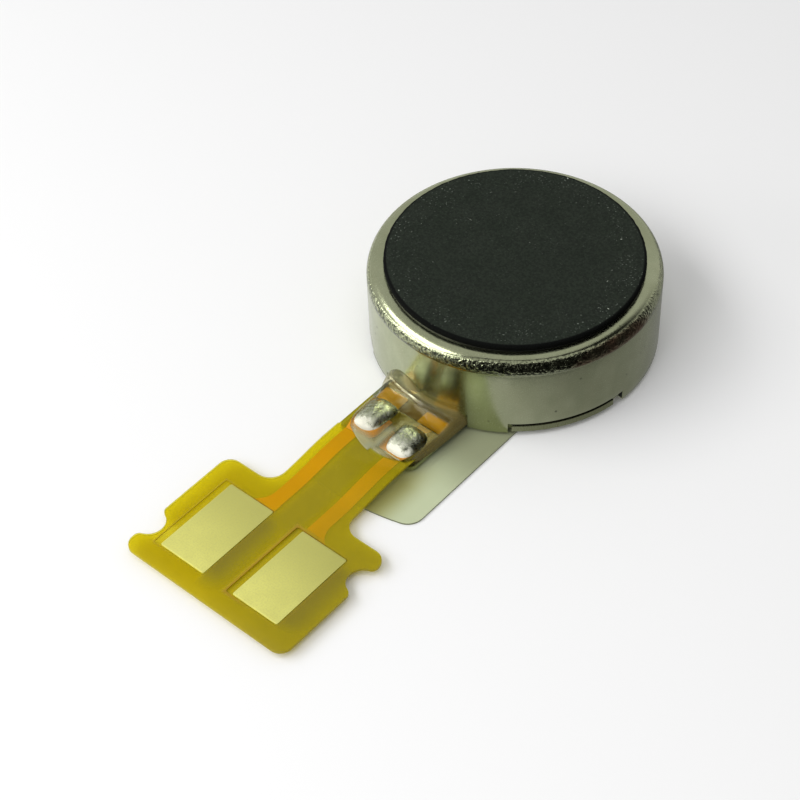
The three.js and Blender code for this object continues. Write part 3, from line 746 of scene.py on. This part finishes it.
def base_plate():
    """The disc, its upturned tabs and the tongue under the tail."""
    low, high = BASE_LOW.z, BASE_HIGH.z
    top = low + BASE_THICK
    hole = BASE_SHAFT_HOLE
    disc = turned([(hole, low), (BASE_RADIUS, low), (BASE_RADIUS, top), (hole, top)])
    soft = 0.05
    root, inner, outer = BASE_RADIUS - 0.3, TAB_RADIUS - TAB_SHEET, TAB_RADIUS
    section = [(root, low), (outer - soft, low), (outer, low + soft),
               (outer, high - soft / 2), (outer - soft / 2, high),
               (inner + soft / 2, high), (inner, high - soft / 2), (inner, top), (root, top)]
    tabs = [swept(section, *tab) for tab in (SIDE_TAB, mirrored(SIDE_TAB), REAR_TAB)]
    side, far, near = TONGUE_HALF_WIDTH, -TONGUE_REACH, -4
    outline = rounded([(-side, near, 0), (-side, far, 0.3), (side, far, 0.3), (side, near, 0)])
    tongue = sheet(outline, (low, top))
    look = grained("stainless sheet", (0.27, 0.285, 0.155), (0.40, 0.43, 0.25), 0.32, 0.25, 1.0, 6.0, 0.001,
                   on_cad=False, stretch=(1.0, 14.0, 1.0))
    piece = make("base_sheet", look, "stainless_base", *joined(disc, *tabs, tongue))
    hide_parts("base_plate")
    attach(piece, "stator")


def foam_pad():
    """A soft-edged disc, ragged round its rim and a little uneven on top."""
    low, high = span("foam_pad")
    radius, soft = high.x - 0.01, 0.09
    profile = [(0, low.z), (radius - 0.01, low.z), (radius, low.z + 0.02), (radius, high.z - soft)]
    profile += arc((radius - soft, high.z - soft), soft, 0, 90, 8)[1:]
    profile += [(radius * share, high.z) for share in (0.95, 0.85, 0.7, 0.5, 0.3, 0.1, 0)]
    vertices, faces = turned(profile, 240)
    uneven = []
    for x, y, z in vertices:
        coarse = noise.noise(Vector((x, y, 0)) * 3.0) * 0.014
        ragged = coarse + noise.noise(Vector((x, y, z * 2)) * 11.0) * 0.016
        grow = 1 + ragged / radius if math.hypot(x, y) > radius * 0.97 else 1.0
        sag = noise.noise(Vector((x, y, 5)) * 0.5) * 0.006 if z > high.z - soft / 2 else 0.0
        uneven.append((x * grow, y * grow, z + sag))
    piece = make("foam_disc", foam_rubber(radius), "foam", uneven, faces, sharp=60)
    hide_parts("foam_pad")
    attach(piece, "stator")


def tapes():
    """The foam's adhesive and the mounting tape, as plain discs."""
    black = grained("black adhesive film", (0.006, 0.006, 0.006), (0.014, 0.014, 0.013), 0.4, 0.0,
                    per_mm=3.0, depth=0.003, on_cad=False)
    pale = grained("double-sided tape", (0.66, 0.64, 0.55), (0.80, 0.78, 0.70), 0.45, 0.0,
                   per_mm=5.0, depth=0.004, on_cad=False, detail=4.0, stretch=(1.0, 0.25, 1.0))
    for node, slot, look in (
            ("foam_adhesive", "foam_adhesive", black),
            ("mounting_tape", "adhesive_tape", pale)):
        low, high = span(node)
        profile = [(0, low.z), (high.x, low.z), (high.x, high.z), (0, high.z)]
        piece = make(node + "_film", look, slot, *turned(profile))
        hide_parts(node)
        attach(piece, "stator")


def release_liner():
    """A disc with a pull tab, whose end is an arc round the case's axis with one rounded corner."""
    low, high = span("release_liner")
    left, right = LINER_TAB_X
    radius, end, corner = high.y, LINER_TAB_END, LINER_TAB_CORNER
    meet_right = math.degrees(math.asin(right / radius))
    meet_left = math.degrees(math.asin(left / radius))
    turn = math.degrees(math.asin((right - corner) / (end - corner)))
    outline = arc((0, 0), radius, meet_right - 90, meet_left + 270, 120)
    outline += arc((0, 0), end, math.degrees(math.asin(left / end)) - 90, turn - 90, 14)
    outline += arc(polar(end - corner, turn), corner, turn - 90, 0, 8)[1:]
    piece = make("liner_sheet", liner_film(), "liner_film", *sheet(outline, (low.z, high.z)))
    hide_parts("release_liner")
    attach(piece, "liner")


# -------- tail


def bent(piece):
    """Bakes the piece's place into its mesh."""
    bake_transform(piece)


def notch_edge(side):
    """The head's side edge at its locating notch, from the motor's side on, for the +X side."""
    reach, soft = NOTCH_REACH[side], NOTCH_FILLET
    offset = NOTCH_OFFSET - HEAD_HALF_WIDTH
    shift = math.sqrt((NOTCH_RADIUS + soft) ** 2 - (soft + offset) ** 2)
    lean = math.degrees(math.atan2(shift, soft + offset))
    before = arc((HEAD_HALF_WIDTH - soft, -(reach - shift)), soft, 0, -lean, 6)
    notch = arc((NOTCH_OFFSET, -reach), NOTCH_RADIUS, 180 - lean, 180 + lean, 16)
    after = arc((HEAD_HALF_WIDTH - soft, -(reach + shift)), soft, lean, 0, 6)
    return before + notch[1:-1] + after


def tail_outline(start):
    """The tail's outline from a reach on, with the neck's fillets and the head's notches."""
    halves = {}
    for side in ("right", "left"):
        neck = arc((ARM_HALF_WIDTH + NECK_FILLET, -HEAD_START + NECK_FILLET), NECK_FILLET, 180, 270)
        corner = HEAD_HALF_WIDTH - HEAD_CORNER
        shoulder = arc((corner, -HEAD_START - HEAD_CORNER), HEAD_CORNER, 90, 0)
        tip = arc((corner, -HEAD_END + HEAD_CORNER), HEAD_CORNER, 0, -90)
        halves[side] = [(ARM_HALF_WIDTH, -start), *neck, *shoulder, *notch_edge(side), *tip]
    left = [(-x, y) for x, y in halves["left"]]
    return halves["right"] + left[::-1]


def film():
    """The base film, with a half-round slot over each terminal at its near end."""
    outline = tail_outline(ARM_START)
    for x in (-SLOT_X, SLOT_X):
        outline += arc((x, -ARM_START), SLOT_RADIUS, 180, 360, 12)
    look = amber_film("amber film", (0.60, 0.51, 0.012), (0.98, 0.93, 0.24), 0.74)
    layer = sheet(outline, FILM_Z, lines=bend_lines())
    piece = make("tail_film", look, "polyimide", *drooped(layer))
    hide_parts("tail_film_root", "tail_film_head")
    bent(piece)


def cover():
    """The cover film, with a window round each contact pad."""
    windows = {side: (WINDOW_X[side], WINDOW_REACH) for side in ("left", "right")}
    creep = [(windows["left"], 0.09, 0.5), (windows["right"], 0.17, 0.8)]
    look = amber_film("amber cover film", (0.62, 0.53, 0.012), (0.98, 0.95, 0.36), 0.84, 0.22, creep)
    holes = [rectangle(*window, 0.08) for window in windows.values()]
    layer = sheet(tail_outline(COVER_START), COVER_Z, holes, bend_lines())
    piece = make("tail_cover_film", look, "polyimide_cover", *drooped(layer))
    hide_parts("cover_film_root", "cover_film_head")
    bent(piece)


def trace(side, look):
    """A landing for the solder, the trace, and its flare into the contact pad."""
    sign = -1 if side == "left" else 1
    inner, outer = TRACE_X
    landing_inner, landing_outer = LANDING_X
    near, far = LANDING_NEAR[side], LANDING_FAR[side]
    end = -span(f"contact_pad_{side}")[1].y - 0.03
    corner, steps = 0.42, 8
    shape = [(landing_inner, -near)]
    shape += arc((landing_inner + corner, -far + corner), corner, 180, 240, 6)
    shape += [(inner, -far + 0.02), (inner, -end), (TRACE_FLARE, -end)]
    for i in range(1, steps + 1):
        narrowing = (TRACE_FLARE - outer) * (1 - i / steps) ** 2.6
        shape.append((outer + narrowing, -end + 0.75 * i / steps))
    shape += [(outer, -far + 0.02), (landing_outer, -far + 0.4), (landing_outer, -near)]
    layer = sheet([(sign * x, y) for x, y in shape], COPPER_Z, lines=bend_lines())
    piece = make(f"trace_{side}", look, "copper_foil", *drooped(layer))
    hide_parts(f"trace_root_{side}", f"trace_head_{side}")
    bent(piece)


def stator_strip():
    """The stator's own flexible strip, which comes out of the case under the tail."""
    low, high = span("stator_flex")
    radius, half_width = high.x, STRIP_HALF_WIDTH
    meet = math.degrees(math.asin(half_width / radius))
    outline = arc((0, 0), radius, meet - 90, 270 - meet, 120)
    outline += [(-half_width, low.y), (half_width, low.y)]
    strip = sheet(outline, (low.z, high.z), [arc((0, 0), STRIP_HOLE, 0, 345, 23)])
    cover_edge = -span("terminal_pad_left")[1].y - 0.02
    covered = rectangle((-half_width, half_width), (radius, cover_edge))
    layer = sheet(covered, (high.z, high.z + STRIP_COVER))
    look = amber_film("amber strip", (0.33, 0.21, 0.012), (0.9, 0.7, 0.12), 0.3)
    piece = make("stator_strip", look, "polyimide", *joined(strip, layer))
    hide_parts("stator_flex")
    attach(piece, "stator")


def pad(name, look, slot, node, corner, bevel, body):
    """A flat pad in its CAD solid's place."""
    low, high = span(node)
    outline = rectangle((low.x, high.x), (-high.y, -low.y), corner)
    piece = make(name, look, slot, *sheet(outline, (low.z, high.z)), bevel=bevel)
    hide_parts(node)
    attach(piece, body)


# -------- solder and glue

GLUE_SWELLS = (  # centre as (x, reach), half width, half length, height, and power of the fall
    ((1.0, 5.32), 0.75, 0.26, 0.17, 2),  # the roll beside the case
    ((-0.3, 5.5), 0.3, 0.3, 0.06, 2),
    ((-0.78, 6.4), 0.56, 0.78, 0.25, 4),  # over the left solder
    ((0.86, 6.7), 0.54, 0.74, 0.335, 4))  # over the right solder


def dome(centre, half_sizes, base, seed, inwards, taper, rings=26, steps=72):
    """An uneven puddle of solder, steep at its rim. Towards its tip, its inner side (+1 or -1 in x)
    draws in by a share of its half width."""
    half_x, half_y, tall = half_sizes
    squareness = 3.2
    vertices = []
    for ring in range(rings + 1):
        share = ring / rings
        for s in range(steps):
            turn = 2 * math.pi * s / steps
            c, d = math.cos(turn), math.sin(turn)
            square = 1 / (abs(c) ** squareness + abs(d) ** squareness) ** (1 / squareness)
            wobble = 1 + 0.07 * noise.noise(Vector((c * 1.4, d * 1.4, seed)))
            r = share * square * wobble
            height = tall * (1 - share ** 2.6) ** 0.6
            height *= 1 + 0.16 * noise.noise(Vector((r * c * 1.7, r * d * 1.7, seed + 3)))
            narrowed = 1 - taper * (1 - r * d) / 2 if c * inwards > 0 else 1
            x = centre[0] + half_x * r * c * narrowed
            vertices.append((x, centre[1] + half_y * r * d, base + height))
    bottom = list(range(rings * steps, (rings + 1) * steps))
    return vertices, row_faces(rings + 1, steps, False) + [bottom]


def solder_joint(side):
    """The puddle on a landing. Its far end is the CAD solid's, and it is a little lower."""
    low, high = span(f"solder_joint_{side}")
    left, right = SOLDER_X[side]
    half = ((right - left) / 2, SOLDER_LENGTH[side] / 2, (high.z - COPPER_Z[1]) * 0.86)
    centre = ((left + right) / 2, low.y + half[1])
    seed, inwards, taper = {"left": (7, 1, 0.3), "right": (11, -1, 0.2)}[side]
    puddle = dome(centre, half, COPPER_Z[1] - 0.005, seed, inwards, taper)
    piece = make(f"solder_{side}", tin_solder(low.y), "solder", *puddle)
    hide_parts(f"solder_joint_{side}")
    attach(piece, "stator")


def glue_floor(x, reach):
    """Height of what lies under the glue: the cover film, the traces, the strip or the tongue."""
    if abs(x) >= ARM_HALF_WIDTH:
        return BASE_LOW.z + BASE_THICK + 0.006
    if reach > COVER_START:
        return COVER_Z[1] + 0.003
    if reach > ARM_START:
        return COPPER_Z[1] + 0.003
    return span("terminal_pad_left")[1].z + 0.003


def glue_height(x, reach):
    """Height of the glue's surface: a coat, a climb up the case's wall, and soft swells."""
    off_wall = max(reach - math.sqrt(CASE_RADIUS ** 2 - x ** 2), 0)
    climb = 0.28 + 0.46 * math.exp(-((x + 0.8) / 0.75) ** 2)
    height = COPPER_Z[1] + 0.075 + climb * math.exp(-(off_wall / 0.34) ** 1.5)
    for centre, half_width, half_length, tall, power in GLUE_SWELLS:
        aside, ahead = abs(x - centre[0]) / half_width, abs(reach - centre[1]) / half_length
        height += tall * math.exp(-aside ** power - ahead ** power)
    return height


def round_over(distance, width):
    """How far a rounded edge has risen at a distance from its outline, 0 to 1."""
    share = min(distance / width, 1)
    return math.sqrt(max(1 - (1 - share) ** 2, 0))


def glue_bead():
    """Glue from the case's wall to past the solder, down over the arm's edge on the right."""
    across, along = 84, 100
    tops, bottoms = [], []
    for j in range(along + 1):
        v = j / along
        left = -1.72 + 0.32 * smooth(v / 0.4) + 0.3 * v ** 8
        right = 1.74 - 0.12 * smooth(v) - 0.42 * v ** 7
        for i in range(across + 1):
            u = i / across
            x = left + (right - left) * u
            front = 7.3 + 0.48 * math.sin(0.85 * math.pi * u)
            wall = math.sqrt(CASE_RADIUS ** 2 - x ** 2) - 0.02
            reach = wall + (front - wall) * v
            near_wall = 1 - smooth((reach - 5.2) / 0.6)
            width = 0.2 + (0.5 if u < 0.5 else 0.2) * near_wall
            rise = round_over(min(u, 1 - u) * (right - left), width)
            rise *= round_over((1 - v) * (front - wall), 0.3)
            foot = glue_floor(x, reach)
            edge = glue_floor(2 if u > 0.5 or v < 0.4 else 0, reach)
            top = edge + (glue_height(x, reach) - edge) * rise
            tops.append((x, -reach, top))
            bottoms.append((x, -reach, min(foot, top)))
    width = across + 1
    count = width * (along + 1)
    faces = []
    for j in range(along):
        for i in range(across):
            a = j * width + i
            faces.append([a, a + 1, a + 1 + width, a + width])
            faces.append([a + count, a + width + count, a + 1 + width + count, a + 1 + count])
    for i in range(across):
        faces.append([i, i + count, i + 1 + count, i + 1])
    piece = make("glue", clear_glue(), "clear_glue", tops + bottoms, faces, sharp=80, welded=2e-4)
    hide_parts("glue_bead")
    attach(piece, "stator")


# -------- what is inside


def finish_inside():
    """Materials for the CAD solids inside the case, whose shapes are right as they are."""
    looks = {
        "shaft": grained("ground steel", (0.62, 0.63, 0.64), (0.75, 0.76, 0.77), 0.16,
                         metallic=1.0, depth=0.0005),
        "ring_magnet": grained("plated magnet", (0.36, 0.36, 0.37), (0.50, 0.50, 0.51), 0.32, metallic=1.0),
        "washer": grained("washer sheet", (0.62, 0.56, 0.42), (0.80, 0.74, 0.60), 0.5),
        "bearing": grained("oiled bronze", (0.34, 0.20, 0.08), (0.56, 0.38, 0.18), 0.42,
                           metallic=1.0, per_mm=26.0, depth=0.006),
        "rotor_board": grained("green board", (0.02, 0.10, 0.04), (0.05, 0.20, 0.08), 0.42, per_mm=6.0),
        "brush": grained("brush alloy", (0.62, 0.52, 0.30), (0.80, 0.72, 0.50), 0.26, metallic=1.0),
        "commutator": gold(on_cad=True),
        "counterweight": grained("sintered tungsten", (0.24, 0.24, 0.23), (0.40, 0.40, 0.38), 0.5,
                                 metallic=1.0, per_mm=30.0, depth=0.006),
        "rotor_resin": grained("black resin", (0.012, 0.012, 0.014), (0.03, 0.03, 0.034), 0.45, per_mm=8.0),
        "coil": winding(),
    }
    for name, node in frame["nodes"].items():
        for word, look in looks.items():
            if word in name:
                node.data.materials.clear()
                node.data.materials.append(look)


def winding():
    """Enamelled wire: fine turns that run round the coil, with painted shade in the grooves between them."""
    look = Look("enamelled wire", on_cad=True, metallic=0.85, roughness=0.34)
    wire = 0.07
    layers = look.math("SINE", look.times(look.axis("Z"), 2 * math.pi / wire))
    height = look.between(layers, -1.0, 1.0)
    # Painted shade: the wire is darker in the grooves between its turns.
    return look.dressed(look.blend(height, (0.20, 0.05, 0.015), (0.62, 0.24, 0.08)), (height, 0.012))


# -------- floor, light and camera


def camera():
    """A camera that looks at the case from its azimuth and elevation, rolled and shifted a little."""
    back = direction(CAMERA_AZIMUTH, CAMERA_ELEVATION)
    level = direction(CAMERA_AZIMUTH + 90, 0)
    roll = Matrix.Rotation(math.radians(CAMERA_ROLL), 3, "Z")
    axes = Matrix((level, back.cross(level), back)).transposed() @ roll
    place = axes @ Vector((-CAMERA_ASIDE[0], -CAMERA_ASIDE[1], CAMERA_DISTANCE))
    place.z += CASE_BOTTOM
    made = added("camera", bpy.data.cameras.new("camera"))
    made.data.lens = CAMERA_LENS
    made.data.clip_start = 0.001
    made.matrix_world = Matrix.Translation(place * MM) @ axes.to_4x4()
    bpy.context.scene.camera = made


def panel(name, azimuth, elevation, size, strength, mirrored_in_metal=True):
    """A soft box that faces the motor. Its size is in mm."""
    light = bpy.data.lights.new(name, "AREA")
    light.shape = "RECTANGLE"
    light.size, light.size_y = (side * MM for side in size)
    light.energy = strength * light.size * light.size_y * math.pi
    made = added(name, light)
    towards = direction(azimuth, elevation)
    made.location = towards * PANEL_DISTANCE * MM
    made.rotation_mode = "QUATERNION"
    made.rotation_quaternion = towards.to_track_quat("Z", "Y")
    made.visible_camera = False
    made.visible_glossy = mirrored_in_metal


def staged(name, look, vertices, faces, height):
    """A mesh of the set, from vertices and a height in millimetres."""
    mesh = bpy.data.meshes.new(name)
    mesh.from_pydata([Vector(v) * MM for v in vertices], [], faces)
    mesh.materials.append(look.material)
    made = added(name, mesh)
    made.location.z = height * MM
    return made


def reflections_only(card):
    """Keeps a glowing card out of everything but reflections."""
    card.data.materials[0].cycles.emission_sampling = "NONE"
    card.visible_camera = False
    card.visible_diffuse = False
    card.visible_shadow = False
    card.visible_transmission = False


def flag(name, azimuths, low, tops, distance, dark, bright, fade):
    """A curved card that only reflections see, dark but for its two ends. Its top edge climbs
    from the first elevation to the second."""
    steps = 48
    vertices, glow = [], []
    for i in range(steps + 1):
        share = i / steps
        azimuth = azimuths[0] + (azimuths[1] - azimuths[0]) * share
        top = tops[0] + (tops[1] - tops[0]) * smooth((share - 0.05) / 0.2)
        vertices += [direction(azimuth, elevation) * distance for elevation in (low, top)]
        glow += [dark + (bright - dark) * (1 - smooth(min(share, 1 - share) / fade))] * 2
    faces = [[2 * i, 2 * i + 1, 2 * i + 3, 2 * i + 2] for i in range(steps)]
    look = Look(name)
    look.finish(look.node("Emission", {"Strength": look.attribute("glow")}))
    card = staged(name, look, vertices, faces, 0)
    card.data.attributes.new("glow", "FLOAT", "POINT").data.foreach_set("value", glow)
    reflections_only(card)


def floor_card(bright, dark, distance):
    """A card on the floor that only reflections see: bright on the key light's side, dark on the other."""
    aside = direction(CAMERA_AZIMUTH + 90, 0) * distance
    ahead = direction(CAMERA_AZIMUTH, 0) * distance
    corners = [-aside - ahead, aside - ahead, aside + ahead, -aside + ahead]
    look = Look("floor card", on_cad=True)
    glow = look.towards(CAMERA_AZIMUTH + 90, (-1.4, 0.8), (bright, dark))
    look.finish(look.node("Emission", {"Strength": glow}))
    reflections_only(staged("floor card", look, corners, [[0, 1, 2, 3]], -0.004))


def floor():
    """A plain pale floor, just under the motor."""
    half = 1500
    corners = [(-half, -half, 0), (half, -half, 0), (half, half, 0), (-half, half, 0)]
    look = Look("floor", roughness=0.9, specular=0.0)
    look.shader.inputs["Base Color"].default_value = (0.88, 0.88, 0.88, 1)
    staged("floor", look, corners, [[0, 1, 2, 3]], -0.01)


def world():
    made = bpy.data.worlds.new("studio")
    made.use_nodes = True
    background = made.node_tree.nodes["Background"]
    background.inputs["Color"].default_value = (1, 1, 1, 1)
    background.inputs["Strength"].default_value = WORLD_LIGHT
    bpy.context.scene.world = made


# -------- put together

bpy.context.scene.view_settings.view_transform = "Standard"
camera()
world()
floor()
panel("key", CAMERA_AZIMUTH - 70, 46, (175, 46), 4.2)
panel("low key", CAMERA_AZIMUTH - 76, 24, (60, 16), 5.0)
panel("front top", CAMERA_AZIMUTH + 5, 73, (70, 30), 2.4, mirrored_in_metal=False)
flag("front flag", (CAMERA_AZIMUTH - 58, CAMERA_AZIMUTH + 92), -20, (33, 57), 9.5, 0.01, WORLD_LIGHT, 0.2)
floor_card(0.8, 0.24, 40)

case_cup()
base_plate()
foam_pad()
tapes()
release_liner()
stator_strip()
film()
cover()
copper_look = copper("copper foil", (0.80, 0.33, 0.02), (1.0, 0.47, 0.035))
lacquered_look = copper("lacquered copper", (0.78, 0.41, 0.0005), (0.95, 0.53, 0.001))
gold_look = gold()
for side in ("left", "right"):
    trace(side, copper_look)
    pad(f"gold_pad_{side}", gold_look, "gold_plate", f"contact_pad_{side}", 0.06, 0.016, "tail")
    pad(f"terminal_{side}", lacquered_look, "copper_foil", f"terminal_pad_{side}", 0.1, 0.004, "stator")
    solder_joint(side)
glue_bead()
finish_inside()
